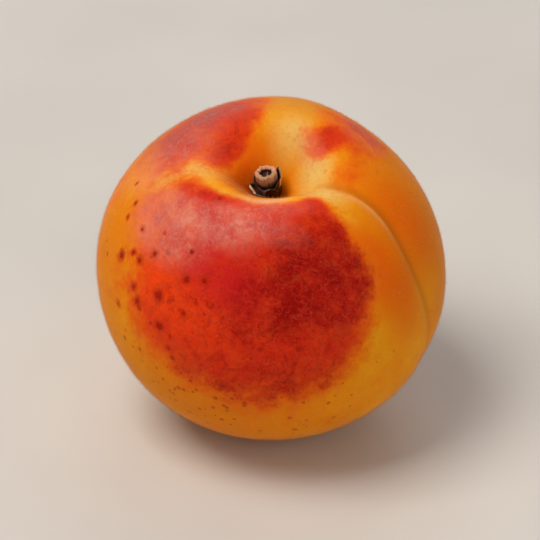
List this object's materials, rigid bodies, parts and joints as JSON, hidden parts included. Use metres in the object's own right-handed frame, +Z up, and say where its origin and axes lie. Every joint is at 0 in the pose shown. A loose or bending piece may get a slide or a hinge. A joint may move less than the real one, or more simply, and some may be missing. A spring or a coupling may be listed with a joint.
{
  "type": "apricot",
  "caption": "Round ripe apricot with a seam down one side, a deep stalk hollow and a short woody stalk set in dark bud scales.",
  "frame": {"origin": "middle of the small flat spot that the fruit rests on, under the middle of the fruit", "axes": "+Z up; the stalk's axis leans 14 degrees from +Z towards -Y, which is the side the fruit is seen from, and the seam runs down the +X side"},
  "size_m": [0.0541, 0.0533, 0.0519],
  "materials": {
    "skin": "Apricot skin: satin, finely downy, yellow-orange with a broad red blush, pale bloom and small dark red speckles",
    "stalk_wood": "Dry pale tan wood, rough, with a dark hollow pith in the cut end",
    "scale_wood": "Dark red-brown papery bud scales with paler edges"
  },
  "bodies": {
    "root": {"fruit": "skin", "stem": "stalk_wood", "bud_scales": "scale_wood"}
  },
  "joints": []
}
